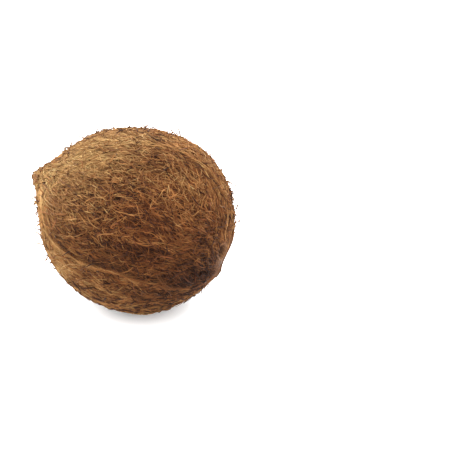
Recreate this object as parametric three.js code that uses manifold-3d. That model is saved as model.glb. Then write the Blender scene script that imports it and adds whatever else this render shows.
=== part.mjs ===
// A whole husked coconut lying on its side, grown as one piece and modelled as one solid.
//
// The nut's own axis runs from its pointed end, towards -X, to the flatter end with the three eyes,
// and rises towards the point. Three seams run from end to end and meet between the eyes. The coat
// of matted coir is relief on the surface, combed from end to end, with coarse loose fibres
// standing out of it. The part's frame has +Z up and its origin on the surface that the nut rests
// on, under the middle of its box. It rests on a small flat spot.

import * as THREE from "three";
import { mergeVertices } from "three/addons/utils/BufferGeometryUtils.js";
import Module from "manifold-3d";

// Driving dimensions. Lengths are in millimetres and angles in radians.
const degrees = THREE.MathUtils.degToRad;
const WIDTH = 106.6; // across the middle
const POINTED_HALF = 58.2; // from the widest place to the pointed end, without its nub
const EYED_HALF = 55.6; // from the widest place to the end with the eyes
const AXIS_RISE = degrees(18); // of the pointed end, as the nut lies

const NUB_HEIGHT = 8.2; // the point itself
const NUB_SPREAD = 0.15; // along the profile

// Places where the nut has grown fuller: [along, round the axis, height, spread].
const SWELLINGS = [
  [degrees(118), degrees(92), 4.6, 0.55],
  [degrees(62), degrees(215), 1.1, 0.6],
];

const SEAM_ANGLES = [62, 182, 302].map(degrees); // round the axis, from +Y towards +Z
const SEAM_HEIGHT = 2.1;
const SEAM_WIDTH = 0.1; // half-width of the crest, round the axis
const SEAM_LEAST_WIDTH = 2.2; // half-width of the crest near both ends, in mm
const SEAM_FADE = [1, 14]; // a seam starts at the first distance from the axis and is whole at the second
const LOBE_HEIGHT = 0.9; // how far the section bulges towards each seam
const LOBE_FADE = [2, 30];

const EYE_RING = 12.5; // from the axis to the middle of each eye
const EYE_RADIUS = 4.3;
const EYE_DEPTH = 2.4;
const EYE_WALL = [0.55, 1.15]; // where the pit's wall begins and ends, in eye radii
const EYE_RIM = 0.5; // height of the lip round each eye
const EYE_RIM_RADIUS = 1.35 * EYE_RADIUS;
const EYE_RIM_WIDTH = 1.4;
const EYE_ANGLES = [122, 242, 2].map(degrees); // midway between the seams

const STRAND_RELIEF = 1.3; // from the trough between two strands to their backs
const STRAND_PATCHES = [40, 17]; // round and along: from patch to patch the relief differs
const STRAND_LEAST = 0.1; // share of the relief in the flattest patch
const STRAND_FADE = [5, 22]; // as for a seam
const STRAND_WAVES = [
  [0.06, 5, 2],
  [0.022, 13, -3],
]; // [how far strands stray round the axis, waves from end to end, waves round]
const TANGLE_RELIEF = 0.8; // by which neighbouring lines differ at random
const TANGLE_ROWS = 15;
const LOCK_RELIEF = 1.5; // height of the broad locks that the strands lie in
const LOCK_PATCHES = [13, 9];
const LOCK_FADE = [4, 16];
const BALD_RADIUS = 17; // the eyed end has little coir this near the axis
const BALD_EDGE = [0.6, 1.6]; // over which the coat begins, in bald radii

const FLAT_DEPTH = 1.1; // how much of the roundness the flat spot takes away
const PRESSED_RADIUS = 19; // round the flat spot the coir is pressed smooth
const PRESSED_EDGE = [0.7, 1.4]; // over which it becomes loose, in pressed radii
const FOOT_ALONG = [1, 2.4]; // the part of the profile that the nut can rest on
const FOOT_STEP = 0.005;

const FIBRE_COUNT = 44;
const FIBRE_WIDTH = 0.8;
const FIBRE_LENGTH = [9, 17];
const FIBRE_LIFT = [1.3, 4.2]; // how far its tip stands off the nut
const FIBRE_HEADING = 0.6; // how far it may turn away from the strands
const FIBRE_ROOT = 1.8; // how deep it is rooted
const FIBRE_ARC = [
  [0.3, 0.35],
  [0.65, 0.75],
  [1, 1],
]; // [share of its length, share of its lift]
const FIBRE_STEPS = 4;
const FIBRE_ENDS = [-0.86, 0.99]; // cosines of "along" between which fibres start, clear of the bare end
const FIBRE_CLEAR_HEIGHT = 30; // no loose fibre starts lower than this

// The mesh: rings round the axis, closer together at both ends, where the point and the eyes are.
const RING_GAP = 4.5;
const POINT_RING_GAP = 2.2;
const EYE_RING_GAP = 1.6;
const POINT_ZONE = 20; // length of profile with the closer rings
const EYE_ZONE = 25;
const LAST_RING = 1.5 * EYE_RING_GAP; // the last ring is at most this far from the end
const STRAND_SEGMENTS = 3; // one of the points that these start from lies on the strand's back
const MOST_SEGMENTS = 44 * STRAND_SEGMENTS; // in a ring at the middle
const SEGMENT_STEPS = [
  [27, 1],
  [9, 2],
  [3.4, 4],
  [0, 12],
]; // [least radius of the ring, what MOST_SEGMENTS is divided by]
const PROFILE_SAMPLES = 2000;
const WELD_DISTANCE = 1e-4;

const COIR = { color: 0x7d5331, roughness: 0.9, metalness: 0 };

const bell = (x) => Math.exp(-x * x);
const smooth = THREE.MathUtils.smoothstep;

// A repeatable number from 0 to 1 for a place on a grid.
function speckle(column, row, layer) {
  let n = column * 374761393 + row * 668265263 + layer * 974634777;
  n = Math.imul(n ^ (n >>> 13), 1274126177);
  return ((n ^ (n >>> 16)) >>> 0) / 4294967296;
}

// A repeatable row of random numbers.
function randomDraws(seed) {
  let count = 0;
  return (low = 0, high = 1) => low + (high - low) * speckle(count++, seed, 7);
}

// Smooth noise from 0 to 1 on a grid of columns round the axis and rows along it.
function gridNoise(around, along, columns, rows, layer) {
  const x = THREE.MathUtils.euclideanModulo(around / (2 * Math.PI), 1) * columns;
  const y = (along / Math.PI) * rows;
  const column = Math.floor(x);
  const row = Math.floor(y);
  const u = smooth(x - column, 0, 1);
  const v = smooth(y - row, 0, 1);
  const at = (i, j) => speckle((column + i) % columns, row + j, layer);
  const near = THREE.MathUtils.lerp(at(0, 0), at(1, 0), u);
  const far = THREE.MathUtils.lerp(at(0, 1), at(1, 1), u);
  return THREE.MathUtils.lerp(near, far, v);
}

// The profile without seams, eyes or coir. "along" is 0 at the point and pi at the eyed end.
function profile(along) {
  const half = along < Math.PI / 2 ? POINTED_HALF : EYED_HALF;
  const nub = NUB_HEIGHT * bell(along / NUB_SPREAD);
  return { x: -(half * Math.cos(along) + nub), radius: (WIDTH / 2) * Math.sin(along) };
}

function seamHeight(around, radius) {
  let height = LOBE_HEIGHT * Math.cos(3 * (around - SEAM_ANGLES[0])) * smooth(radius, ...LOBE_FADE);
  for (const seam of SEAM_ANGLES) {
    const off = Math.abs(THREE.MathUtils.euclideanModulo(around - seam + Math.PI, 2 * Math.PI) - Math.PI);
    const width = Math.max(SEAM_WIDTH, SEAM_LEAST_WIDTH / Math.max(radius, 1));
    height += SEAM_HEIGHT * bell(off / width) * smooth(radius, ...SEAM_FADE);
  }
  return height;
}

function eyeHeight(around, radius) {
  const [inner, outer] = EYE_WALL.map((share) => share * EYE_RADIUS);
  let height = 0;
  for (const eye of EYE_ANGLES) {
    const away = Math.hypot(
      radius * Math.cos(around) - EYE_RING * Math.cos(eye),
      radius * Math.sin(around) - EYE_RING * Math.sin(eye),
    );
    height -= EYE_DEPTH * (1 - smooth(away, inner, outer));
    height += EYE_RIM * bell((away - EYE_RIM_RADIUS) / EYE_RIM_WIDTH);
  }
  return height;
}

// How far the strands stray round the axis from a straight line between both ends.
function astray(around, along) {
  return STRAND_WAVES.reduce((sum, [most, lengthwise, round]) => {
    return sum + most * Math.sin(lengthwise * along + round * around);
  }, 0);
}

// Height of the coat on the back of a strand or in the trough between two.
function coirHeight(around, along, radius, isBack) {
  const patch = gridNoise(around, along, ...STRAND_PATCHES, 1);
  const relief = STRAND_RELIEF * THREE.MathUtils.lerp(STRAND_LEAST, 1, patch);
  const tangle = TANGLE_RELIEF * (gridNoise(around, along, MOST_SEGMENTS, TANGLE_ROWS, 3) - 0.5);
  const strand = tangle + (isBack ? relief / 2 : -relief / 2);
  const lock = gridNoise(around, along, ...LOCK_PATCHES, 2) - 0.5;
  const coated = along > Math.PI / 2 ? smooth(radius / BALD_RADIUS, ...BALD_EDGE) : 1;
  return coated * (strand * smooth(radius, ...STRAND_FADE) + LOCK_RELIEF * lock * smooth(radius, ...LOCK_FADE));
}

function directionOf(around, along) {
  return new THREE.Vector3(-Math.cos(along), Math.sin(along) * Math.cos(around), Math.sin(along) * Math.sin(around));
}

// A point of the nut as it lies, before it is set down: its bare form, raised by the coat's height.
function surfacePoint(around, along, coat = 0) {
  const { x, radius } = profile(along);
  const outwards = directionOf(around, along);
  let height = seamHeight(around, radius) + coat;
  if (along > Math.PI / 2) height += eyeHeight(around, radius);
  for (const [middle, side, most, spread] of SWELLINGS) {
    height += most * bell(outwards.angleTo(directionOf(side, middle)) / spread);
  }
  const point = new THREE.Vector3(x, radius * Math.cos(around), radius * Math.sin(around));
  point.addScaledVector(outwards, height);
  return point.applyAxisAngle(new THREE.Vector3(0, 1, 0), AXIS_RISE);
}

// The profile's angles at which the rings lie, with the chosen gaps between them.
function ringAngles() {
  const lengths = [0];
  let last = profile(0);
  for (let i = 1; i <= PROFILE_SAMPLES; i++) {
    const next = profile((Math.PI * i) / PROFILE_SAMPLES);
    lengths.push(lengths[i - 1] + Math.hypot(next.x - last.x, next.radius - last.radius));
    last = next;
  }
  const whole = lengths[PROFILE_SAMPLES];
  const angles = [];
  let target = POINT_RING_GAP;
  for (let i = 1; i < PROFILE_SAMPLES; i++) {
    if (lengths[i] < target) continue;
    angles.push((Math.PI * i) / PROFILE_SAMPLES);
    const left = whole - lengths[i];
    const gap = left < EYE_ZONE ? EYE_RING_GAP : target < POINT_ZONE ? POINT_RING_GAP : RING_GAP;
    target += gap;
    if (left < LAST_RING) break;
  }
  return angles;
}

function segmentsOf(along) {
  const { radius } = profile(along);
  return MOST_SEGMENTS / SEGMENT_STEPS.find(([least]) => radius >= least)[1];
}

// Faces between two rings. Their segment counts are equal, or one is a multiple of the other.
function stitch(triangles, first, firstCount, second, secondCount) {
  const most = Math.max(firstCount, secondCount);
  const a = (i) => first + Math.floor((i * firstCount) / most) % firstCount;
  const b = (i) => second + Math.floor((i * secondCount) / most) % secondCount;
  for (let i = 0; i < most; i++) {
    if (a(i) !== a(i + 1)) triangles.push(a(i), a(i + 1), b(i));
    if (b(i) !== b(i + 1)) triangles.push(a(i + 1), b(i + 1), b(i));
  }
}

function nutSurface(place) {
  const positions = [...place(0, 0, true)];
  const triangles = [];
  let ring = null;
  for (const along of ringAngles()) {
    const count = segmentsOf(along);
    const start = positions.length / 3;
    for (let i = 0; i < count; i++) {
      positions.push(...place((2 * Math.PI * i) / count, along, i % STRAND_SEGMENTS === 0));
    }
    if (ring) stitch(triangles, ring.start, ring.count, start, count);
    else for (let i = 0; i < count; i++) triangles.push(0, start + ((i + 1) % count), start + i);
    ring = { start, count };
  }
  const end = positions.length / 3;
  positions.push(...place(0, Math.PI, true));
  for (let i = 0; i < ring.count; i++) {
    triangles.push(end, ring.start + i, ring.start + ((i + 1) % ring.count));
  }
  const geometry = new THREE.BufferGeometry();
  geometry.setAttribute("position", new THREE.Float32BufferAttribute(positions, 3));
  return geometry.setIndex(triangles);
}

// The lowest point of the nut under its coat: it is set down there.
function findFoot() {
  let foot = new THREE.Vector3(0, 0, Infinity);
  for (let along = FOOT_ALONG[0]; along < FOOT_ALONG[1]; along += FOOT_STEP) {
    for (let around = Math.PI; around < 2 * Math.PI; around += FOOT_STEP) {
      const point = surfacePoint(around, along);
      if (point.z < foot.z) foot = point;
    }
  }
  return foot;
}

// The coat is pressed smooth round the foot, and nothing reaches below the flat spot.
function laidPoint(line, along, isBack, foot, floor) {
  const around = line + astray(line, along);
  const { radius } = profile(along);
  const loose = smooth(surfacePoint(around, along).distanceTo(foot) / PRESSED_RADIUS, ...PRESSED_EDGE);
  const point = surfacePoint(around, along, loose * coirHeight(line, along, radius, isBack));
  if (point.z < floor) point.z = floor;
  return point;
}

// A loose fibre: rooted in the nut, it leans along the coir and lifts off towards its tip.
function looseFibre(around, along, draw) {
  const step = 0.01; // over which directions on the surface are measured
  const root = surfacePoint(around, along);
  const onward = surfacePoint(around, along + step).sub(surfacePoint(around, along - step)).normalize();
  const sideways = surfacePoint(around + step, along).sub(surfacePoint(around - step, along)).normalize();
  const outwards = new THREE.Vector3().crossVectors(sideways, onward).normalize();
  const heading = draw(-FIBRE_HEADING, FIBRE_HEADING) + (draw() < 0.5 ? Math.PI : 0);
  const lean = onward.multiplyScalar(Math.cos(heading)).addScaledVector(sideways, Math.sin(heading));
  const length = draw(...FIBRE_LENGTH);
  const lift = draw(...FIBRE_LIFT);
  const at = (share, height) => root.clone().addScaledVector(lean, share * length).addScaledVector(outwards, height);
  const path = new THREE.CatmullRomCurve3([
    at(0, -FIBRE_ROOT),
    ...FIBRE_ARC.map(([share, raised]) => at(share, raised * lift)),
  ]);
  const section = new THREE.Shape(
    [0, 1, 2].map((corner) => {
      const turn = (corner * 2 * Math.PI) / 3;
      return new THREE.Vector2(Math.cos(turn), Math.sin(turn)).multiplyScalar(FIBRE_WIDTH / Math.sqrt(3));
    }),
  );
  return new THREE.ExtrudeGeometry(section, { steps: FIBRE_STEPS, extrudePath: path, bevelEnabled: false });
}

function looseFibres(floor) {
  const draw = randomDraws(3);
  const fibres = [];
  while (fibres.length < FIBRE_COUNT) {
    const along = Math.acos(draw(...FIBRE_ENDS));
    const around = draw(0, 2 * Math.PI);
    if (surfacePoint(around, along).z < floor + FIBRE_CLEAR_HEIGHT) continue;
    fibres.push(looseFibre(around, along, draw));
  }
  return fibres;
}

const wasm = await Module();
wasm.setup();

function solidOf(geometry) {
  const bare = geometry.clone().deleteAttribute("normal").deleteAttribute("uv");
  const merged = mergeVertices(bare, WELD_DISTANCE);
  return new wasm.Manifold(
    new wasm.Mesh({
      numProp: 3,
      vertProperties: merged.attributes.position.array,
      triVerts: new Uint32Array(merged.index.array),
    }),
  );
}

function geometryOf(solid) {
  const { vertProperties, triVerts } = solid.getMesh();
  const geometry = new THREE.BufferGeometry();
  geometry.setAttribute("position", new THREE.BufferAttribute(vertProperties, 3));
  geometry.setIndex(new THREE.BufferAttribute(triVerts, 1));
  geometry.computeVertexNormals();
  return geometry;
}

const foot = findFoot();
const floor = foot.z + FLAT_DEPTH;
const nut = solidOf(nutSurface((line, along, isBack) => laidPoint(line, along, isBack, foot, floor)));
const whole = looseFibres(floor).map(solidOf).reduce((joined, fibre) => joined.add(fibre), nut);

const coconut = new THREE.Mesh(
  geometryOf(whole),
  new THREE.MeshStandardMaterial(COIR),
);
coconut.name = "coconut";
const { min, max } = new THREE.Box3().setFromBufferAttribute(coconut.geometry.attributes.position);
coconut.position.set(-(min.x + max.x) / 2, -(min.y + max.y) / 2, -floor);

const part = new THREE.Group();
part.add(coconut);
export default part;
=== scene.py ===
"""A whole husked coconut lying on its side, dressed in its coat of coir.

The nut's form is read from the CAD solid by rays from its middle. It becomes a fine inner surface with
the shell and the eyes, and thousands of fibres are laid over that, layer upon layer.

Lengths are in millimetres until a mesh is made. A place on the nut is the direction in which it lies from
the nut's middle, a unit vector in the nut's own frame. Two angles give it as well: along, from 0 at the
pointed end to pi at the eyed end, and around, round the nut's axis from +Y towards +Z.
"""

import math
from collections.abc import Callable
from dataclasses import dataclass
from itertools import product

import bpy
import numpy as np
from mathutils import Matrix, Quaternion, Vector
from mathutils.bvhtree import BVHTree


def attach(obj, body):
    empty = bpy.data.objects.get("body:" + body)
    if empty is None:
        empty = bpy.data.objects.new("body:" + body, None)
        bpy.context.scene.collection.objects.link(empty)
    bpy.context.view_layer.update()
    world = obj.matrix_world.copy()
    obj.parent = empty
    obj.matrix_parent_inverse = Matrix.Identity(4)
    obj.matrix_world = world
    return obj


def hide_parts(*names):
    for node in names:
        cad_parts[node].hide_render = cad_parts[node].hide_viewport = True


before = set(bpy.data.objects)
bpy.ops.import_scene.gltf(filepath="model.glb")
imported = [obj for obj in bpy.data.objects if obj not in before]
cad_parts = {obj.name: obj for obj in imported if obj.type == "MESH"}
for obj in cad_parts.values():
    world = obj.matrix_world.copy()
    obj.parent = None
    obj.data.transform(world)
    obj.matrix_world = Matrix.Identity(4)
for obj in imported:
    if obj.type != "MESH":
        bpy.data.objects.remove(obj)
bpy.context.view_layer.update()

MM = 0.001
FULL_TURN = 2 * math.pi
TINY = 1e-12  # keeps a division off zero

# The nut as the CAD solid has it.
NUT_CENTRE = np.array([3.28, 0.82, 52.42])  # on its axis, where it is widest
AXIS_RISE = math.radians(18)  # of the pointed end
MEAN_RADIUS = 55.0
EYES = np.radians([122, 242, 2])  # where they lie round the axis
EYE_RING = 12.5  # from the axis to the middle of each eye
EYE_RADIUS = 4.3
BALD_RADIUS = 17.0  # the eyed end has little coir this near the axis

# From the nut's own frame to the one that it lies in.
TURN = np.array(
    [
        [math.cos(AXIS_RISE), 0, math.sin(AXIS_RISE)],
        [0, 1, 0],
        [-math.sin(AXIS_RISE), 0, math.cos(AXIS_RISE)],
    ]
)


def ramp(x, low, high):
    """0 below low, 1 above high, and smooth between them."""
    t = np.clip((x - low) / (high - low), 0, 1)
    return t * t * (3 - 2 * t)


def bell(x):
    """1 at 0, and falling off smoothly on both sides."""
    return np.exp(-x * x)


def hump(share):
    """0 at both ends of a fibre, where share is 0 and 1, and 1 in its middle."""
    return np.sin(math.pi * share)


def unit(v):
    return v / np.maximum(np.linalg.norm(v, axis=-1, keepdims=True), TINY)


def shortest(angle):
    """The same angle between -pi and pi."""
    return (angle + math.pi) % FULL_TURN - math.pi


# ---- places on the nut ----


def facing(along, around):
    """The direction of a place, from its angles."""
    return np.stack(
        [-np.cos(along), np.sin(along) * np.cos(around), np.sin(along) * np.sin(around)], axis=-1
    )


def angles_of(direction):
    along = np.arccos(np.clip(-direction[..., 0], -1, 1))
    return along, np.arctan2(direction[..., 2], direction[..., 1]) % FULL_TURN


def tangents(direction):
    """The directions in which along and around grow."""
    along, around = angles_of(direction)
    onward = np.stack(
        [np.sin(along), np.cos(along) * np.cos(around), np.cos(along) * np.sin(around)], axis=-1
    )
    sideways = np.stack([np.zeros_like(around), -np.sin(around), np.cos(around)], axis=-1)
    return onward, sideways


# ---- noise over the nut ----

NOISE_CELLS = 32  # after so many cells the blobs repeat


def blend_cells(table, at, wrap):
    """Smooth noise between the numbers of a table, read at fractional indices."""
    low = np.floor(at).astype(int)
    share = ramp(at - low, 0, 1)
    total = 0
    for corner in product((0, 1), repeat=at.shape[-1]):
        weight = np.prod(np.where(corner, share, 1 - share), axis=-1)
        total = total + weight * table[tuple(((low + corner) % wrap).T)].T
    return total


def blobs(direction, size, seed):
    """Noise from -1 to 1 in blobs of about that many millimetres."""
    table = np.random.default_rng(seed).uniform(-1, 1, (NOISE_CELLS,) * 3)
    return blend_cells(table, direction * MEAN_RADIUS / size + NOISE_CELLS, np.array([NOISE_CELLS] * 3))


def streaks(direction, columns, rows, seed):
    """Noise from -1 to 1 in streaks that run from end to end: so many round the nut and so many along it."""
    along, around = angles_of(direction)
    table = np.random.default_rng(seed).uniform(-1, 1, (columns, rows + 1))
    at = np.stack([around * columns / FULL_TURN, along * rows / math.pi], axis=-1)
    return blend_cells(table, at, np.array([columns, rows + 1]))


def noise(direction, kinds, base=0):
    """Several noises on a base, each given as [strength, blobs or streaks, what that kind takes]."""
    return sum((strength * kind(direction, *rest) for strength, kind, *rest in kinds), start=base)


# ---- the eyed end ----

BALD_EDGE = (0.75 * BALD_RADIUS, 1.25 * BALD_RADIUS)  # how far from the axis the coat begins and is whole
BALD_NOISE = [[2.5, blobs, 7, 40]]  # the edge is ragged
EYE_WALL = (0.45, 1.0)  # where the wall of an eye's pit begins and ends, in eye radii
RIM_PLACE = 1.1  # the rim's radius and its half-width, in eye radii
RIM_WIDTH = 0.22
EYE_FAR = 9.0  # a distance, in eye radii, that counts as away from all eyes
EYE_GUARD = 0.5  # no fibre starts where an eye is deeper than this share


def eyed_share(direction):
    """1 on the bare shell round the eyes and 0 on the coat."""
    off_axis = MEAN_RADIUS * np.hypot(direction[..., 1], direction[..., 2])
    return (direction[..., 0] > 0) * (1 - ramp(off_axis + noise(direction, BALD_NOISE), *BALD_EDGE))


def eye_distance(direction):
    """How far the nearest eye's middle is, in eye radii."""
    nearest = np.full(direction.shape[:-1], EYE_FAR)
    for eye in EYES:
        away = np.hypot(
            MEAN_RADIUS * direction[..., 1] - EYE_RING * math.cos(eye),
            MEAN_RADIUS * direction[..., 2] - EYE_RING * math.sin(eye),
        )
        nearest = np.where(direction[..., 0] > 0, np.minimum(nearest, away / EYE_RADIUS), nearest)
    return nearest


def eye_depth(direction):
    """1 in the middle of an eye and 0 away from them all."""
    return 1 - ramp(eye_distance(direction), *EYE_WALL)


def eye_rim(direction):
    """1 on the raised ring round each eye."""
    return bell((eye_distance(direction) - RIM_PLACE) / RIM_WIDTH)


def clear_of_eyes(direction):
    """0 in an eye and 1 away from them all."""
    return 1 - np.clip(eye_depth(direction) / EYE_GUARD, 0, 1)


# ---- the form of the nut, from the CAD solid ----

HULL_ROWS = 168
HULL_COLUMNS = 260
GRID_ALONG = (np.arange(HULL_ROWS) + 0.5) * math.pi / HULL_ROWS  # the poles are half a row off
GRID_AROUND = np.arange(HULL_COLUMNS) * FULL_TURN / HULL_COLUMNS
ROW_GAP = math.pi * MEAN_RADIUS / HULL_ROWS
LAST_ROW = HULL_ROWS - 1.001  # a little before the last, so that another row always follows

MATT_BLUR = 2.4  # the CAD's coarse strands are smoothed away: fibres take their place
END_BLUR = 0.9  # but the point and the eyes stay crisp
END_ZONE = (math.cos(math.radians(36)), math.cos(math.radians(20)))  # from smooth to crisp, as cosines
BLUR_REACH = 3  # in widths of the blur
LEAST_RING = 0.5  # near the poles the blur reckons with a ring of this radius
ROOT_HEIGHT = 0.8  # what stands out more than this is a loose fibre's root, and is cut off
ROOT_ROUNDS = 3  # each lowers what the rounds before have left


def blur(radii, width):
    """Radii on the grid, smoothed over that many millimetres."""
    reach = math.ceil(BLUR_REACH * width / ROW_GAP)
    weights = bell(np.arange(-reach, reach + 1) * ROW_GAP / (math.sqrt(2) * width))
    # Past a pole the grid goes on down the other side.
    far_side = np.roll(radii, HULL_COLUMNS // 2, axis=1)
    padded = np.concatenate([far_side[reach - 1 :: -1], radii, far_side[: -reach - 1 : -1]])
    smooth = sum(weight * padded[i : i + HULL_ROWS] for i, weight in enumerate(weights)) / weights.sum()
    waves = np.fft.rfftfreq(HULL_COLUMNS, 1 / HULL_COLUMNS)
    spread = width / np.maximum(MEAN_RADIUS * np.sin(GRID_ALONG), LEAST_RING)
    kept = bell(waves * spread[:, None] / math.sqrt(2))
    return np.fft.irfft(np.fft.rfft(smooth, axis=1) * kept, HULL_COLUMNS)


def cad_radii():
    """How far the CAD solid reaches from its middle, at each place of the grid."""
    tree = BVHTree.FromObject(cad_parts["coconut"], bpy.context.evaluated_depsgraph_get())
    middle = Vector(NUT_CENTRE * MM)
    outward = facing(*np.meshgrid(GRID_ALONG, GRID_AROUND, indexing="ij")) @ TURN.T
    reach = [tree.ray_cast(middle, Vector(ray))[3] for ray in outward.reshape(-1, 3)]
    return np.array(reach).reshape(outward.shape[:2]) / MM


def form_radii():
    """The CAD's form without its loose fibres and coarse strands."""
    radii = cad_radii()
    for _ in range(ROOT_ROUNDS):
        radii = np.minimum(radii, blur(radii, MATT_BLUR) + ROOT_HEIGHT)
    ends = ramp(np.abs(np.cos(GRID_ALONG)), *END_ZONE)[:, None]
    return blur(radii, MATT_BLUR) * (1 - ends) + blur(radii, END_BLUR) * ends


FORM = form_radii()


def radius_at(direction):
    """The form's radius at any place, between those of the grid."""
    along, around = angles_of(direction)
    row = np.clip(along * HULL_ROWS / math.pi - 0.5, 0, LAST_ROW)
    column = around * HULL_COLUMNS / FULL_TURN
    i, j = np.floor(row).astype(int), np.floor(column).astype(int)
    u, v = row - i, column - j
    j, k = j % HULL_COLUMNS, (j + 1) % HULL_COLUMNS
    near = FORM[i, j] * (1 - v) + FORM[i, k] * v
    far = FORM[i + 1, j] * (1 - v) + FORM[i + 1, k] * v
    return near * (1 - u) + far * u


def laid(direction, height):
    """The point that many millimetres above the form."""
    return NUT_CENTRE + (direction * (radius_at(direction) + height)[..., None]) @ TURN.T


# ---- how the coat looks from place to place ----

# Where the coat is lighter or darker, where it is golden rather than red, and where it is tangled rather
# than matted: [along, around, how much, spread], the first two in degrees and the spread in radians. The
# lighter and darker spots are partly the coat's own tone and partly painted light and shade.
TONE_AND_SHADING_SPOTS = [
    # painted light: the pointed end is made lighter than the lamps light it
    [14, 155, 0.26, 0.40],
    [15, 207, -0.17, 0.20],
    [32, 127, -0.03, 0.20],
    [50, 112, 0.17, 0.45],
    [49, 153, 0.03, 0.18],
    [60, 208, 0.12, 0.32],
    [70, 107, -0.06, 0.16],
    [71, 84, 0.05, 0.20],
    [87, 100, 0.07, 0.18],
    [85, 140, 0.03, 0.30],
    [94, 131, -0.05, 0.12],
    [104, 122, 0.10, 0.18],
    [109, 103, -0.05, 0.15],
    [124, 109, 0.15, 0.24],
    [104, 68, 0.12, 0.32],
    [106, 168, -0.12, 0.29],
    [95, 229, 0.09, 0.28],
    # this spot and the next two: partly the coat's own darker tone, partly a painted shadow of a coconut
    # half beside the eyed end
    [131, 196, -0.11, 0.30],
    [150, 164, -0.13, 0.34],
    [152, 200, -0.09, 0.30],
    [105, 212, -0.045, 0.60],
]
GOLD_SPOTS = [
    [20, 150, 0.25, 0.6],
    [60, 100, 0.20, 0.6],
    [40, 72, 0.25, 0.4],
    [65, 230, 0.35, 0.5],
    [95, 150, -0.22, 0.45],
    [130, 140, -0.35, 0.6],
]
WILD_SPOTS = [
    [35, 110, -0.55, 0.65],
    [25, 175, -0.55, 0.50],
    [76, 152, 0.45, 0.33],
    [75, 85, 0.45, 0.30],
]
TONE = 0.03
TONE_NOISE = [
    [0.04, streaks, 64, 9, 1],
    [0.05, blobs, 16, 2],
    [0.02, blobs, 5, 3],
    [0.03, streaks, 130, 34, 4],
]
GOLD = 0.45
GOLD_NOISE = [[0.12, blobs, 14, 15]]
WILD = 0.55
WILD_NOISE = [[0.35, blobs, 22, 5]]
WILD_LEAST = 0.05
FLOW_NOISE = [[0.42, blobs, 26, 11], [0.30, blobs, 9, 12]]
RELIEF_NOISE = [[0.12, blobs, 5, 13], [0.18, streaks, 70, 12, 14]]

# Creases that run from end to end, where the edge of one layer of the coat stands over the next: along and
# around where each begins, the same where it fades, its depth and its side, in degrees and mm. The coat
# dips past the crease on side 1 and before it on side -1.
CREASES = np.array([
    [14, 161, 50, 191, 0.4, -1],
    [50, 191, 74, 188, 0.7, -1],
    [74, 188, 98, 182, 0.7, -1],
    [98, 182, 122, 184, 0.35, -1],
    [122, 184, 150, 192, 0.2, -1],
    [84, 95, 134, 86, 0.5, 1],
    [50, 37, 110, 39, 0.5, 1],
    [40, 299, 140, 303, 0.8, -1],
    [60, 244, 125, 241, 0.6, 1],
    [70, 18, 130, 15, 0.6, -1],
]) * [*[math.pi / 180] * 4, 1, 1]
CREASE_NOISE = [[0.015, blobs, 14, 17]]  # its line strays round the nut
CREASE_FADE = 0.15  # it begins and fades over this much of along, each way
CREASE_WIDTH = 3.0  # of the dip
CREASE_STEP = 1.2  # from the edge down to the dip
EDGE_WIDTH = 5.0
EDGE_SHARE = 0.4  # how high the edge stands, as a share of the crease's depth
CREASE_SHADING = 0.10  # painted light and shade: how much lighter the coat is for each millimetre that it stands out at a crease, and darker for each that it dips

TIP_FILL = 1.3  # the coat is fuller by this at the pointed end
TIP_ZONE = (0.12, 0.5)  # of along, over which that fades


def spotted(direction, spots):
    """What the spots come to at a place. Each fades with the distance from its middle."""
    total = 0
    for along, around, amount, spread in spots:
        middle = facing(math.radians(along), math.radians(around))
        total = total + amount * bell(np.arccos(np.clip(direction @ middle, -1, 1)) / spread)
    return total


def crease_line(along, around, crease):
    """Where a crease lies round the nut, at places near it."""
    begin, first, fade, last = crease[:4]
    share = (along - begin) / (fade - begin)
    return first + (last - first) * share + noise(facing(along, around), CREASE_NOISE)


def beside(along, around, crease):
    """How far round the nut a place lies from a crease, in mm, and how much of the crease is there."""
    begin, _, fade, _, _, _ = crease
    off = shortest(around - crease_line(along, around, crease)) * MEAN_RADIUS * np.sin(along)
    begun = ramp(along, begin - CREASE_FADE, begin + CREASE_FADE)
    faded = ramp(along, fade - CREASE_FADE, fade + CREASE_FADE)
    return off, begun * (1 - faded)


def crease_height(direction):
    """How many millimetres the coat stands out, or dips, near its creases."""
    along, around = angles_of(direction)
    total = 0
    for crease in CREASES:
        *_, depth, side = crease
        off, there = beside(along, around, crease)
        past = side * off
        step = ramp(past, 0, CREASE_STEP)
        dip = np.where(past > 0, bell(past / CREASE_WIDTH), 0) * step
        edge = np.where(past < 0, bell(past / EDGE_WIDTH), 1 - step)
        total = total + depth * there * (EDGE_SHARE * edge - dip)
    return total


def crease_lean(direction):
    """How far the coat turns away from the line between both ends beside a crease, in radians."""
    along, around = angles_of(direction)
    total = 0
    for crease in CREASES:
        begin, first, fade, last, _, _ = crease
        off, there = beside(along, around, crease)
        lean = np.arctan((last - first) / (fade - begin) * np.sin(along))
        total = total + there * bell(off / EDGE_WIDTH) * lean
    return total


def coat_tone_and_shading(direction):
    """How much lighter or darker the coat is than it mostly is: partly its own tone, and partly painted
    light and shade from the spots and at the creases.
    """
    tone = noise(direction, TONE_NOISE, TONE)
    # the spots and the creases paint light and shade onto the coat's own tone
    return tone + spotted(direction, TONE_AND_SHADING_SPOTS) + CREASE_SHADING * crease_height(direction)


def coat_gold(direction):
    """From 0 where the coat is red to 1 where it is golden."""
    return noise(direction, GOLD_NOISE, GOLD) + spotted(direction, GOLD_SPOTS)


def wildness(direction):
    """From 0, where the coat is matted smooth, to 1, where it is tangled."""
    return np.clip(noise(direction, WILD_NOISE, WILD) + spotted(direction, WILD_SPOTS), WILD_LEAST, 1)


def coir_flow(direction):
    """How far the coir turns away from the line between both ends, in radians."""
    return noise(direction, FLOW_NOISE)


def coat_relief(direction):
    """How far the coat rises or dips from place to place, in millimetres."""
    return noise(direction, RELIEF_NOISE) + crease_height(direction)


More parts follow.
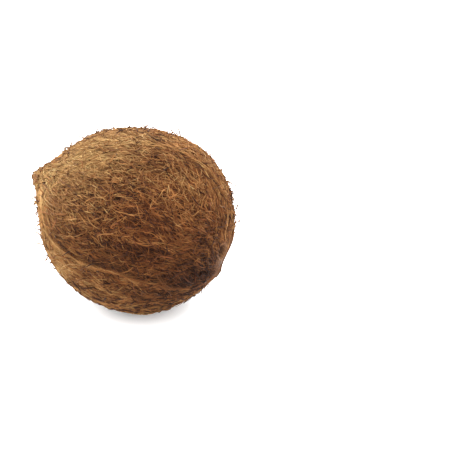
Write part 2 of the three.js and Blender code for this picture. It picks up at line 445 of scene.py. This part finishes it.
def tip_fill(direction):
    """How many millimetres fuller the coat is at the pointed end."""
    along, _ = angles_of(direction)
    return TIP_FILL * (1 - ramp(along, *TIP_ZONE))


# ---- materials ----

# Colours from dark to light, each as [place on the ramp, sRGB colour].
COIR_COLOURS = [
    [0.00, (11, 5, 3)],
    [0.20, (46, 25, 14)],
    [0.45, (103, 70, 42)],
    [0.70, (151, 120, 84)],
    [1.00, (173, 157, 126)],
]
COIR_HUES = [[0.0, (255, 216, 178)], [0.5, (255, 241, 214)], [1.0, (250, 255, 230)]]
SHELL_COLOURS = [[0.3, (38, 21, 11)], [0.7, (79, 51, 30)]]
SKIN_COLOURS = [[0.35, (14, 8, 5)], [0.65, (34, 20, 13)]]  # of an eye
WORN_COLOURS = [[0.35, (64, 41, 25)], [0.65, (98, 68, 43)]]  # of an eye's rim
GRAIN_SCALE = 900.0  # grains to the metre, about
GRAIN_DETAIL = 4.0
GRAIN_TONE = 0.35  # how strongly the grain shows in the coir's lightness
GRAIN_BUMP = 0.5
GRAIN_DEPTH = 0.0004  # in metres
COLOUR_MAP = "OFBake"
MIX_SOCKETS = (0, 6, 7)  # where a colour mix takes its share and its two colours
MIX_RESULT = 2


def shade(srgb):
    """A colour as Blender wants it, from its eight-bit sRGB values."""
    linear = [((c / 255 + 0.055) / 1.055) ** 2.4 if c > 10 else c / 255 / 12.92 for c in srgb]
    return (*linear, 1)


class Nodes:
    """A material's node tree, with the few calls that the materials here need."""

    def __init__(self, name, roughness, specular):
        self.material = bpy.data.materials.new(name)
        self.material.use_nodes = True
        self.tree = self.material.node_tree
        self.shader = self.tree.nodes["Principled BSDF"]
        self.shader.inputs["Roughness"].default_value = roughness
        self.shader.inputs["Specular IOR Level"].default_value = specular

    def feed(self, socket, value):
        """A socket takes a link or a plain value."""
        if isinstance(value, bpy.types.NodeSocket):
            self.tree.links.new(value, socket)
        else:
            socket.default_value = value

    def add(self, kind, inputs=(), **settings):
        node = self.tree.nodes.new(kind)
        for key, value in settings.items():
            setattr(node, key, value)
        for key, value in dict(inputs).items():
            self.feed(node.inputs[key], value)
        return node

    def colour_ramp(self, share, stops):
        node = self.add("ShaderNodeValToRGB", {"Fac": share})
        points = node.color_ramp.elements
        while len(points) < len(stops):
            points.new(0.5)  # it moves to its own place below
        for point, (place, colour) in zip(points, stops):
            point.position = place
            point.color = shade(colour)
        return node.outputs["Color"]

    def mix(self, share, first, second, blend="MIX"):
        inputs = zip(MIX_SOCKETS, (share, first, second))
        return self.add("ShaderNodeMix", inputs, data_type="RGBA", blend_type=blend).outputs[MIX_RESULT]

    def attribute(self, name):
        return self.add("ShaderNodeAttribute", attribute_name=name).outputs["Fac"]


def fibre_material():
    """Coir. The colour map holds a fibre's lightness across and its hue upwards."""
    made = Nodes("coir_fibre", roughness=0.65, specular=0.12)
    place = made.add("ShaderNodeUVMap", uv_map=COLOUR_MAP).outputs["UV"]
    parts = made.add("ShaderNodeSeparateXYZ", {"Vector": place}).outputs
    colour = made.colour_ramp(parts["X"], COIR_COLOURS)
    hue = made.colour_ramp(parts["Y"], COIR_HUES)
    made.feed(made.shader.inputs["Base Color"], made.mix(1.0, colour, hue, "MULTIPLY"))
    return made.material


def hull_material():
    """Pressed coir dust, darkened as painted shade deep in the coat, and, at the eyed end, the bare shell
    with its eyes.
    """
    made = Nodes("coir_bed", roughness=0.8, specular=0.08)
    tone, bare, eye, rim = (made.attribute(name) for name in ("tone", "bare", "eye", "rim"))
    place = made.add("ShaderNodeTexCoord").outputs["Object"]
    noise_inputs = {"Vector": place, "Scale": GRAIN_SCALE, "Detail": GRAIN_DETAIL}
    grain = made.add("ShaderNodeTexNoise", noise_inputs).outputs["Fac"]
    sum_inputs = {0: grain, 1: GRAIN_TONE, 2: tone}
    lightness = made.add("ShaderNodeMath", sum_inputs, operation="MULTIPLY_ADD").outputs[0]
    coir = made.colour_ramp(lightness, COIR_COLOURS)
    shell = made.colour_ramp(grain, SHELL_COLOURS)
    skin = made.colour_ramp(grain, SKIN_COLOURS)
    worn = made.colour_ramp(grain, WORN_COLOURS)
    colour = made.mix(eye, made.mix(rim, made.mix(bare, coir, shell), worn), skin)
    made.feed(made.shader.inputs["Base Color"], colour)
    bump_inputs = {"Height": grain, "Strength": GRAIN_BUMP, "Distance": GRAIN_DEPTH}
    bump = made.add("ShaderNodeBump", bump_inputs).outputs["Normal"]
    made.feed(made.shader.inputs["Normal"], bump)
    return made.material


# ---- objects ----


def link(name, data):
    """A new object in the scene."""
    placed = bpy.data.objects.new(name, data)
    bpy.context.scene.collection.objects.link(placed)
    return placed


def new_piece(name, points, faces, material):
    """A piece of the nut, from points in millimetres."""
    mesh = bpy.data.meshes.new(name)
    mesh.from_pydata((points * MM).tolist(), [], faces)
    mesh.materials.append(material)
    mesh.shade_smooth()
    piece = link(name, mesh)
    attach(piece, "root")
    return piece


# ---- the inner surface ----

HULL_INSET = 2.0  # under the form, so that the coat comes out level with it
HULL_NOISE = [[1, streaks, 90, 14, 6], [0.6, blobs, 3.5, 7]]
HULL_RELIEF = 0.45
SHELL_NOISE = [[1, streaks, 130, 6, 8]]
SHELL_RELIEF = 0.15
EYE_RIM = 0.5  # the rims of the eyes stand out so far over the form
EYE_SINK = 1.2  # and their pits go so much deeper than its own
RIM_WEAR = 0.8  # how far a rim takes on the worn colours
# the bed is darker than the coat over it: painted shade deep in the coat, between the fibres
BED_TONE_AND_SHADE = -0.08
BED_MATTED = 0.25  # how much lighter the bed is where the coat is matted smooth
BED_SHARE = 0.5  # how far it follows the coat's tone and its painted light and shade
MATT_EVEN = 0.8  # how far the layers of a smooth, matted coat share one tone


def coat_inset(direction):
    """How far the inner surface lies under the form: less at the point, and not at all on the bare shell."""
    return (HULL_INSET - tip_fill(direction)) * (1 - eyed_share(direction))


def hull_faces():
    """The faces between the rings of the grid, and the fans round the two poles, whose points come last."""
    tip = HULL_ROWS * HULL_COLUMNS
    end = tip + 1
    last = tip - HULL_COLUMNS
    columns = [(column, (column + 1) % HULL_COLUMNS) for column in range(HULL_COLUMNS)]
    faces = []
    for ring in range(0, last, HULL_COLUMNS):
        next_ring = ring + HULL_COLUMNS
        faces += [(ring + j, next_ring + j, next_ring + k, ring + k) for j, k in columns]
    for j, k in columns:
        faces += [(tip, j, k), (end, last + k, last + j)]
    return faces


def make_hull(material):
    """The coir's bed and the bare shell with its eyes, in place of the CAD solid."""
    along, around = np.meshgrid(GRID_ALONG, GRID_AROUND, indexing="ij")
    poles = [[-1, 0, 0], [1, 0, 0]]
    direction = np.concatenate([facing(along, around).reshape(-1, 3), poles])
    bare = eyed_share(direction)
    eye = eye_depth(direction)
    rim = eye_rim(direction) * (1 - eye)
    relief = HULL_RELIEF * (1 - bare) * noise(direction, HULL_NOISE)
    relief = relief + SHELL_RELIEF * bare * noise(direction, SHELL_NOISE) * (1 - eye)
    relief = relief + EYE_RIM * rim - EYE_SINK * eye
    points = laid(direction, relief - coat_inset(direction))
    hull = new_piece("coconut_bed", points, hull_faces(), material)
    matted = BED_MATTED * MATT_EVEN * (1 - wildness(direction))
    # painted shade: the bed is darker than the coat, and takes on the coat's painted light and shade
    tone = BED_TONE_AND_SHADE + matted + BED_SHARE * coat_tone_and_shading(direction)
    for name, values in (("tone", tone), ("bare", bare), ("eye", eye), ("rim", RIM_WEAR * rim)):
        layer = hull.data.attributes.new(name, "FLOAT", "POINT")
        layer.data.foreach_set("value", values.astype(np.float32))
    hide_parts("coconut")


# ---- where fibres start ----

GOLDEN_ANGLE = math.pi * (3 - math.sqrt(5))
SCATTER_SPARE = 1.1  # a few more places are tried than should be needed
SCATTER_TRIAL = 5000  # how many places tell the mean chance of a fibre
SCATTER_JITTER = 1.2  # over the root of their number: about a third of the gap between places
SHELL_BALD = 0.93  # the share of fibres that the bare shell has lost
FLECK_LEAST = 0.25  # the chance of a dark fleck where the coat is matted smooth
TUFT_START = 0.03  # the fibres round the pointed end start from this along
TUFT_REACH = 0.42  # over so much of it
TUFT_GATHER = 1.2  # the higher this is, the more they gather at the point
EDGE_BAND = 1.0  # how far inside a crease's edge fibres start


def spiral(size):
    """Evenly spread places all over the nut."""
    nth = np.arange(size) + 0.5
    axial = 1 - 2 * nth / size
    ring = np.sqrt(1 - axial**2)
    turn = nth * GOLDEN_ANGLE
    return np.stack([axial, ring * np.cos(turn), ring * np.sin(turn)], axis=-1)


def scattered(draw, count, chance):
    """Places all over the nut, evenly spread, and thinned out where the chance of a fibre is low."""
    size = int(SCATTER_SPARE * count / chance(spiral(SCATTER_TRIAL)).mean())
    tried = unit(spiral(size) + draw.normal(0, SCATTER_JITTER / math.sqrt(size), (size, 3)))
    kept = tried[draw.random(size) < chance(tried)]
    return draw.permutation(kept)[:count]


def coated(direction):
    """The chance of a fibre: few grow on the bare shell, and none in an eye."""
    return (1 - SHELL_BALD * eyed_share(direction)) * clear_of_eyes(direction)


def flecked(direction):
    """The chance of a dark fleck: more where the coat is tangled."""
    return coated(direction) * (FLECK_LEAST + (1 - FLECK_LEAST) * wildness(direction))


def on_shell(direction):
    """The chance of a thin fibre that is left on the bare shell."""
    return eyed_share(direction) * clear_of_eyes(direction)


def near_tip(draw, count):
    """Places round the pointed end, densest at the point."""
    along = TUFT_START + TUFT_REACH * draw.random(count) ** TUFT_GATHER
    return facing(along, draw.uniform(0, FULL_TURN, count))


def along_creases(draw, count):
    """Places just inside the edges that stand out along the creases."""
    crease = CREASES[draw.integers(len(CREASES), size=count)].T
    begin, first, fade, last, _, side = crease
    along = begin + (fade - begin) * draw.random(count)
    line = crease_line(along, (first + last) / 2, crease)
    return facing(along, line - side * draw.uniform(0, EDGE_BAND, count) / (MEAN_RADIUS * np.sin(along)))


# ---- fibres as tubes ----

SIDES = 3
FLOOR_GAP = 0.15  # no fibre comes nearer to the floor than this
TIP_LENGTH = 0.5  # of a fibre's pointed ends, as a share of the step between its points
ROUNDNESS = 0.6  # a fibre grows thicker towards its middle as a hump to this power
MAP_WIDTH = 0.004  # a fibre's strip on the colour map reaches so far to both sides of its lightness
MAP_HEIGHT = 0.03  # and so far upwards from its hue
LIGHT_RANGE = (0.06, 0.98)
HUE_RANGE = (0.02, 0.94)
TIP_SHARES = [-0.05, 1.05]  # where the two tips lie in the strip, upwards


def tube_faces(count, points):
    """The faces of that many tubes, whose points are ring after ring and then the two tips."""
    sides, ends = [], []
    tips = SIDES * points
    last = tips - SIDES
    for j in range(SIDES):
        k = (j + 1) % SIDES
        sides += [(ring + j, ring + k, ring + SIDES + k, ring + SIDES + j) for ring in range(0, last, SIDES)]
        ends += [(tips, k, j), (tips + 1, last + j, last + k)]
    first = np.arange(count)[:, None, None] * (tips + 2)
    sides = (first + np.array(sides)).reshape(-1, 4).tolist()
    ends = (first + np.array(ends)).reshape(-1, 3).tolist()
    return sides + ends


def tube_vertices(path, lift, thick):
    """The points of each tube, kept off the floor: its rings and its two tips."""
    middle = laid(path, lift)
    middle[..., 2] = np.maximum(middle[..., 2], FLOOR_GAP + thick)
    tangent = unit(np.gradient(middle, axis=1))
    across = unit(np.cross(tangent, path @ TURN.T))
    outward = np.cross(across, tangent)
    corners = []
    for turn in math.pi / 2 + np.arange(SIDES) * FULL_TURN / SIDES:
        corners.append(middle + thick[..., None] * (math.cos(turn) * across + math.sin(turn) * outward))
    rings = np.stack(corners, axis=2).reshape(len(path), -1, 3)
    reach = TIP_LENGTH * np.linalg.norm(middle[:, 1] - middle[:, 0], axis=-1, keepdims=True)
    tips = np.stack([middle[:, 0] - tangent[:, 0] * reach, middle[:, -1] + tangent[:, -1] * reach], axis=1)
    tips[..., 2] = np.maximum(tips[..., 2], FLOOR_GAP)
    return np.concatenate([rings, tips], axis=1).reshape(-1, 3)


def colour_places(light, hue):
    """Each tube's points on the colour map: across it goes the lightness, and upwards the hue."""
    count, points = light.shape
    light = np.clip(light, *LIGHT_RANGE)
    rings = light[:, :, None] + MAP_WIDTH * np.linspace(-1, 1, SIDES)
    u = np.concatenate([rings.reshape(count, -1), light[:, [0, -1]]], axis=1)
    share = np.repeat(np.linspace(0, 1, points), SIDES)
    v = np.clip(hue, *HUE_RANGE)[:, None] + MAP_HEIGHT * np.concatenate([share, TIP_SHARES])
    return np.stack([u, v], axis=-1).reshape(-1, 2)


def make_tubes(name, material, path, lift, thick, light, hue):
    """Fibres as one piece, each a closed tube that ends in two points.

    path holds the places that each fibre passes, and lift, thick and light its height over the form, half
    its width and its lightness there. hue is one number for each fibre.
    """
    piece = new_piece(name, tube_vertices(path, lift, thick), tube_faces(*lift.shape), material)
    vertex_of = np.empty(len(piece.data.loops), dtype=np.int32)
    piece.data.loops.foreach_get("vertex_index", vertex_of)
    layer = piece.data.uv_layers.new(name=COLOUR_MAP)
    layer.uv.foreach_set("vector", colour_places(light, hue)[vertex_of].astype(np.float32).ravel())


# ---- the layers of fibres ----


@dataclass
class Layer:
    """What the fibres of one layer are like. A pair of numbers is a range."""

    name: str
    seed: int
    count: int
    points: int  # of each fibre's middle line
    length: tuple
    width: tuple  # right across
    height: tuple  # over the form
    tone: float
    spread: float  # how much the fibres differ in tone
    rise: tuple = (0, 0)  # how much higher the far end stands
    heading: float = 0.35  # how far fibres stray from the flow, in radians
    flow: float = 1.0  # how far they follow the flow
    curl: float = 0.0  # how far they swing to and fro, in radians
    curl_length: float = 7.0
    arch: float = 0.3  # how much higher the middle lies than the ends
    weave: float = 0.35  # how deep they dive between others
    taper: float = 0.35  # how thick the ends are, as a share of the middle
    even: float = MATT_EVEN  # how far they take on the one tone of a smooth, matted coat
    parted: bool = True  # whether they lead away from both ends of the nut
    chance: Callable = coated  # of a fibre, at each place
    start: Callable = None  # gives the places where they start, if not all over the nut


LAYERS = [
    Layer("coir_deep", seed=101, count=3200, points=6, length=(12, 24), width=(0.7, 1.05),
          height=(-1.9, -1.1), tone=0.16, spread=0.07),
    Layer("coir_matted", seed=102, count=4200, points=6, length=(8, 17), width=(0.45, 0.75),
          height=(-1.5, -0.6), tone=0.32, spread=0.10, heading=0.5),
    Layer("coir_combed", seed=103, count=4600, points=6, length=(7, 15), width=(0.34, 0.58),
          height=(-1.1, -0.2), tone=0.42, spread=0.11, heading=0.5),
    Layer("coir_felted", seed=104, count=7800, points=4, length=(2.5, 7), width=(0.26, 0.48),
          height=(-0.8, 0.1), tone=0.43, spread=0.14, heading=1.1, arch=0.15, weave=0.2, parted=False),
    Layer("coir_curled", seed=105, count=1000, points=8, length=(5, 11), width=(0.34, 0.52),
          height=(-0.6, 0.2), tone=0.42, spread=0.11, heading=0.25, curl=0.9, curl_length=6.0),
    Layer("coir_loose", seed=106, count=200, points=12, length=(8, 18), width=(0.2, 0.34),
          height=(-0.1, 0.7), tone=0.50, spread=0.14, heading=0.5, curl=0.7, arch=0.6),
    Layer("coir_flecks", seed=111, count=1700, points=5, length=(2.5, 6), width=(0.4, 0.65),
          height=(-0.3, 0.25), tone=0.15, spread=0.07, heading=0.2, curl=0.8, curl_length=6.0,
          arch=0.1, weave=0.1, even=0.5, chance=flecked),
    Layer("coir_edges", seed=112, count=240, points=8, length=(8, 18), width=(0.3, 0.5),
          height=(-0.1, 0.3), tone=0.50, spread=0.10, heading=0.05, flow=0, curl=0.1,
          start=along_creases),
    Layer("coir_cords", seed=114, count=60, points=12, length=(18, 36), width=(0.35, 0.6),
          height=(-0.1, 0.3), tone=0.48, spread=0.07, heading=0.05, flow=0, start=along_creases),
    Layer("coir_stray", seed=107, count=420, points=8, length=(3, 9), width=(0.6, 1.0),
          height=(-0.4, 0.4), tone=0.26, spread=0.10, rise=(1.5, 6.5), heading=1.0, curl=0.5,
          taper=0.5, even=0.1),
    Layer("coir_fuzz", seed=110, count=900, points=5, length=(1.5, 4.0), width=(0.5, 0.75),
          height=(-0.2, 0.3), tone=0.20, spread=0.10, rise=(0.8, 3.2), heading=1.0, taper=0.6,
          even=0.4),
    Layer("coir_tuft", seed=108, count=480, points=6, length=(3, 9), width=(0.25, 0.45),
          height=(-0.7, 0.3), tone=0.40, spread=0.14, rise=(0.0, 1.2), heading=1.2, curl=0.6,
          parted=False, start=near_tip),
    Layer("coir_spur", seed=113, count=230, points=7, length=(2, 5), width=(0.55, 0.95),
          height=(-0.2, 0.3), tone=0.16, spread=0.08, rise=(0.6, 2.8), heading=1.2, curl=0.3,
          taper=0.6, even=0.1, parted=False, start=near_tip),
    Layer("coir_shell", seed=109, count=900, points=6, length=(4, 12), width=(0.16, 0.34),
          height=(-0.15, 0.05), tone=0.30, spread=0.14, heading=0.45, arch=0.1, weave=0.05,
          chance=on_shell),
]

# How fibres run. Angles are in radians.
TIP_PARTING = 0.4  # nearer than this to an end, parted fibres lead away from it
EYED_PARTING = 0.5
CURL_SPREAD = (0.4, 1.2)  # how strongly a fibre curls, as a share of its layer's curl
CURL_LENGTH_SPREAD = (0.75, 1.35)
ONWARD_SHARE = 0.5  # of the fibres lead towards the eyed end, and the others towards the point
BOW = 0.035  # how strongly fibres bend, for each millimetre
MATTED_STRAY = 0.4  # in a smooth, matted coat fibres stray and weave so far, as a share of the full
COMBED_SHARE = 0.7  # how far fibres run with a crease on its edge
COMBED_HEIGHT = 0.5  # where the edge is lower than this, they do so less

# How high fibres lie.
ARCH_LEVEL = 0.7  # the share of its arch at which a fibre lies at its own height
WEAVE_LENGTH = (7, 12)  # from dive to dive
CURL_LIFT = 0.35  # how far curled fibres rise and fall, and how that goes with their curls
CURL_LIFT_PHASE = 1.7
CURL_LIFT_WAVES = 0.6
RISE_BEND = 1.6  # a rising fibre's height goes with this power of the way along it
EYE_CLEAR = 3.0  # fibres that would cross an eye dive under its skin by this
PRESSED_SHARE = 0.85  # how far rising ends are pressed down underneath the nut
PRESSED_ZONE = (0.2, 0.7)  # how far below the nut's middle that begins and is full, in radii

# How thick and how light fibres are.
END_CUT = (0.04, 0.96)  # the ends of a fibre are as thick as it is at these shares of its length
MATT_TONE = 0.42  # the tone of a smooth, matted coat
MATTED_SPREAD = 0.3  # how far fibres differ there
DEPTH_SHADE = 0.06  # painted shade: how much lighter they are for each millimetre that they lie higher, and darker for each that they lie lower
DEPTH_SHADE_WILD = 0.08  # and how much more so where the coat is tangled
HIGH_RANGE = (-2, 0.8)  # of that height, from the layer's mean
END_SHADE = 0.06  # how much darker their ends are
HUE_SPREAD = 0.20


class Fibres:
    """The fibres of one layer. All that differs between them at random is drawn first, in one order."""

    def __init__(self, layer):
        draw = np.random.default_rng(layer.seed)
        count = layer.count
        self.layer = layer
        self.share = np.linspace(0, 1, layer.points)
        self.at = layer.start(draw, count) if layer.start else scattered(draw, count, layer.chance)
        self.wild = wildness(self.at)
        self.astray = MATTED_STRAY + (1 - MATTED_STRAY) * self.wild
        self.length = draw.uniform(*layer.length, count)
        self.width = draw.uniform(*layer.width, count)
        self.height = draw.uniform(*layer.height, count)
        self.rise = draw.uniform(*layer.rise, count)
        self.sign = np.where(draw.random(count) < ONWARD_SHARE, 1, -1)
        self.phase = draw.uniform(0, FULL_TURN, count)
        self.curl = layer.curl * self.wild * draw.uniform(*CURL_SPREAD, count)
        self.wave = FULL_TURN / (layer.curl_length * draw.uniform(*CURL_LENGTH_SPREAD, count))
        self.bow = draw.normal(0, BOW, count)
        self.stray = draw.normal(0, layer.heading, count)
        self.first_dive = draw.uniform(0, FULL_TURN, count)
        self.dives = self.length / draw.uniform(*WEAVE_LENGTH, count)
        self.lighter = draw.normal(0, layer.spread, count)
        self.golden = draw.normal(0, HUE_SPREAD, count)

    def first_move(self):
        """The direction in which each fibre sets off: with the flow, or with a crease near its edge."""
        sign = self.sign
        if self.layer.parted:
            along, _ = angles_of(self.at)
            sign = np.where(along < TIP_PARTING, 1, np.where(along > math.pi - EYED_PARTING, -1, sign))
        free = 1 - COMBED_SHARE * np.clip(np.abs(crease_height(self.at)) / COMBED_HEIGHT, 0, 1)
        lean = self.layer.flow * free * coir_flow(self.at) + crease_lean(self.at)
        angle = self.stray * self.astray * free + sign * lean
        onward, sideways = tangents(self.at)
        return (sign * np.cos(angle))[:, None] * onward + np.sin(angle)[:, None] * sideways

    def course(self):
        """The places that each fibre passes: [fibre, point, xyz]."""
        step = self.length / (self.layer.points - 1)
        walked = step * np.arange(self.layer.points)[:, None]
        swing = np.diff(np.sin(self.phase + self.wave * walked), axis=0)
        move = self.first_move()
        here = self.at
        path = [here]
        for turn in self.bow * step + self.curl * swing:
            move = np.cos(turn)[:, None] * move + np.sin(turn)[:, None] * np.cross(here, move)
            here = unit(here + move * (step / MEAN_RADIUS)[:, None])
            move = unit(move - (move * here).sum(axis=1, keepdims=True) * here)
            path.append(here)
        return np.stack(path, axis=1)

    def woven(self):
        """How fibres weave over and under each other."""
        dive = np.sin(self.first_dive[:, None] + FULL_TURN * self.dives[:, None] * self.share)
        return (self.layer.weave * self.astray)[:, None] * dive

    def curled(self):
        """How curled fibres rise and fall."""
        waves = (CURL_LIFT_WAVES * self.wave * self.length)[:, None] * self.share
        return CURL_LIFT * self.curl[:, None] * np.sin(CURL_LIFT_PHASE * self.phase[:, None] + waves)

    def risen(self):
        """How fibres rise towards their far ends. Underneath the nut they are pressed down."""
        below = -(self.at @ TURN.T)[:, 2]
        rise = self.rise * (1 - PRESSED_SHARE * ramp(below, *PRESSED_ZONE))
        return rise[:, None] * self.share**RISE_BEND

    def lift(self, path):
        """How high each point of the fibres lies over the form."""
        arched = self.layer.arch * (hump(self.share) - ARCH_LEVEL)
        lift = self.height[:, None] + arched + self.woven() + self.curled() + self.risen()
        return lift + coat_relief(path) + tip_fill(path) - EYE_CLEAR * eye_depth(path)

    def thickness(self):
        """Half the width of each fibre at each of its points."""
        taper = self.layer.taper
        middling = hump(np.clip(self.share, *END_CUT)) ** ROUNDNESS
        return self.width[:, None] / 2 * (taper + (1 - taper) * middling)

    def light(self, path, lift):
        """How light each point is, with painted shade where fibres lie low in the coat. A smooth, matted
        coat is of one tone, right down to its bed.
        """
        tone = self.layer.tone
        base = tone + (MATT_TONE - tone) * self.layer.even * (1 - self.wild)
        base = base + self.lighter * (MATTED_SPREAD + (1 - MATTED_SPREAD) * self.wild)
        high = np.clip(lift - lift.mean(), *HIGH_RANGE)
        # painted shade: fibres that lie low in the coat are darker, and those that lie high are lighter
        depth_shade = (DEPTH_SHADE + DEPTH_SHADE_WILD * self.wild)[:, None] * high
        return base[:, None] + coat_tone_and_shading(path) + depth_shade - END_SHADE * (1 - hump(self.share))

    def hue(self):
        return coat_gold(self.at) + self.golden


def make_fibres(layer, material):
    fibres = Fibres(layer)
    path = fibres.course()
    lift = fibres.lift(path)
    light = fibres.light(path, lift)
    make_tubes(layer.name, material, path, lift, fibres.thickness(), light, fibres.hue())


# ---- the long strands ----

# Each lies loose on the coat, and is given by the places [along, around] that it passes, in degrees.
STRANDS = [
    [[80, 168], [81, 166], [83, 164], [87, 162], [92, 161]],
    [[98, 160], [102, 160], [107, 160], [112, 158], [116, 154]],
    [[102, 153], [106, 152], [110, 151], [114, 152], [120, 152]],
    [[81, 147], [85, 148], [90, 147], [95, 146], [97, 144], [102, 141]],
    [[92, 138], [95, 140], [98, 144], [100, 146]],
    [[70, 160], [76, 162], [80, 162]],
    [[104, 129], [104, 124], [105, 122]],
    [[71, 124], [74, 124], [78, 123], [82, 123]],
    [[102, 96], [106, 92], [112, 90], [118, 88], [123, 87]],
    [[33, 126], [40, 126], [46, 128]],
]
STRAND_POINTS = 14
STRAND_WIDTH = 0.42
STRAND_TAPER = 0.4
STRAND_HEIGHT = 1.0
STRAND_DIVE = -0.4  # the height of its ends
STRAND_TONE = 0.60
STRAND_END_SHADE = 0.1


def curve_through(knots):
    """Places on a smooth curve through the knots: a Catmull-Rom spline, brought back to unit length."""
    ends = np.concatenate([[2 * knots[0] - knots[1]], knots, [2 * knots[-1] - knots[-2]]])
    at = np.linspace(0, len(knots) - 1, STRAND_POINTS)
    i = np.minimum(at.astype(int), len(knots) - 2)
    u = (at - i)[:, None]
    a, b, c, d = (ends[i + k] for k in range(4))
    return unit(2 * b + (c - a) * u + (2 * a - 5 * b + 4 * c - d) * u**2 + (3 * b - a - 3 * c + d) * u**3)


def make_strands(material):
    path = np.stack([curve_through(facing(*np.radians(route).T)) for route in STRANDS])
    over = hump(np.linspace(0, 1, STRAND_POINTS)) ** ROUNDNESS
    lift = STRAND_DIVE + (STRAND_HEIGHT - STRAND_DIVE) * over + coat_relief(path)
    thick = np.broadcast_to(STRAND_WIDTH / 2 * (STRAND_TAPER + (1 - STRAND_TAPER) * over), lift.shape)
    light = STRAND_TONE - STRAND_END_SHADE * (1 - over) + coat_tone_and_shading(path)
    make_tubes("coir_strands", material, path, lift, thick, light, coat_gold(path[:, 0]))


def make_nut():
    coir = fibre_material()
    make_hull(hull_material())
    make_strands(coir)
    for layer in LAYERS:
        make_fibres(layer, coir)


# ---- the studio ----

# The camera. Its distances are in metres.
VIEW_AZIMUTH = math.radians(20)
VIEW_ELEVATION = math.radians(26)
VIEW_DISTANCE = 1.0  # from the nut's middle
CLIP_START = 0.05
CLIP_END = 20
LENS = 136.0  # its focal length and the sensor's width are in millimetres
SENSOR = 36.0
PICTURE = 450  # pixels a side
NUT_IN_PICTURE = (137.0, 222.5)  # where the nut's middle is seen, in pixels from the top left corner

# The studio is lighter on one side than on the other.
SKY_LIGHT = (1.56, 4.81)  # its strength on the dim side and on the bright one
SKY_FROM = (-0.68, 0.6, 0.7)
KEY_LIGHT = 5.2
KEY_FROM = (-0.4, 0.2, 1.0)
KEY_SPREAD = math.radians(45)

# The floor is a light table, on which only the shadow under the nut shows.
FLOOR_HALF = 6.0  # in metres
FLOOR_COLOUR = (0.96, 0.96, 0.96, 1)
FLOOR_GLOW = 0.1
WHITE = (1, 1, 1, 1)


def make_camera():
    level = math.cos(VIEW_ELEVATION)
    back = Vector(
        (math.sin(VIEW_AZIMUTH) * level, -math.cos(VIEW_AZIMUTH) * level, math.sin(VIEW_ELEVATION))
    )
    right = Vector((math.cos(VIEW_AZIMUTH), math.sin(VIEW_AZIMUTH), 0))
    data = bpy.data.cameras.new("camera")
    data.lens = LENS
    data.sensor_width = SENSOR
    data.clip_start = CLIP_START
    data.clip_end = CLIP_END
    camera = link("camera", data)
    camera.location = Vector(NUT_CENTRE * MM) + back * VIEW_DISTANCE
    at_nut = Matrix((right, back.cross(right), back)).transposed().to_quaternion()
    focal = LENS / SENSOR * PICTURE
    aside, down = (math.atan((PICTURE / 2 - place) / focal) for place in NUT_IN_PICTURE)
    camera.rotation_mode = "QUATERNION"
    camera.rotation_quaternion = at_nut @ Quaternion((0, 1, 0), -aside) @ Quaternion((1, 0, 0), -down)
    bpy.context.scene.camera = camera


def make_floor():
    mesh = bpy.data.meshes.new("floor")
    corners = [(x * FLOOR_HALF, y * FLOOR_HALF, 0) for x, y in ((-1, -1), (1, -1), (1, 1), (-1, 1))]
    mesh.from_pydata(corners, [], [(0, 1, 2, 3)])
    paint = Nodes("floor_white", roughness=0.9, specular=0.1)
    paint.shader.inputs["Base Color"].default_value = FLOOR_COLOUR
    paint.shader.inputs["Emission Color"].default_value = WHITE
    paint.shader.inputs["Emission Strength"].default_value = FLOOR_GLOW
    mesh.materials.append(paint.material)
    floor = link("floor", mesh)


def make_light():
    world = bpy.data.worlds.new("studio")
    world.use_nodes = True
    tree = world.node_tree
    place = tree.nodes.new("ShaderNodeTexCoord")
    towards = tree.nodes.new("ShaderNodeVectorMath")
    towards.operation = "DOT_PRODUCT"
    towards.inputs[1].default_value = Vector(SKY_FROM).normalized()
    strength = tree.nodes.new("ShaderNodeMapRange")
    strength.inputs["From Min"].default_value = -1
    strength.inputs["To Min"].default_value, strength.inputs["To Max"].default_value = SKY_LIGHT
    tree.links.new(place.outputs["Generated"], towards.inputs[0])
    tree.links.new(towards.outputs["Value"], strength.inputs["Value"])
    tree.links.new(strength.outputs["Result"], tree.nodes["Background"].inputs["Strength"])
    tree.nodes["Background"].inputs["Color"].default_value = WHITE
    bpy.context.scene.world = world
    data = bpy.data.lights.new("key", "SUN")
    data.energy = KEY_LIGHT
    data.angle = KEY_SPREAD
    key = link("key", data)
    key.rotation_euler = Vector(KEY_FROM).to_track_quat("Z", "Y").to_euler()


make_nut()
make_camera()
make_floor()
make_light()
bpy.context.scene.view_settings.view_transform = "Standard"
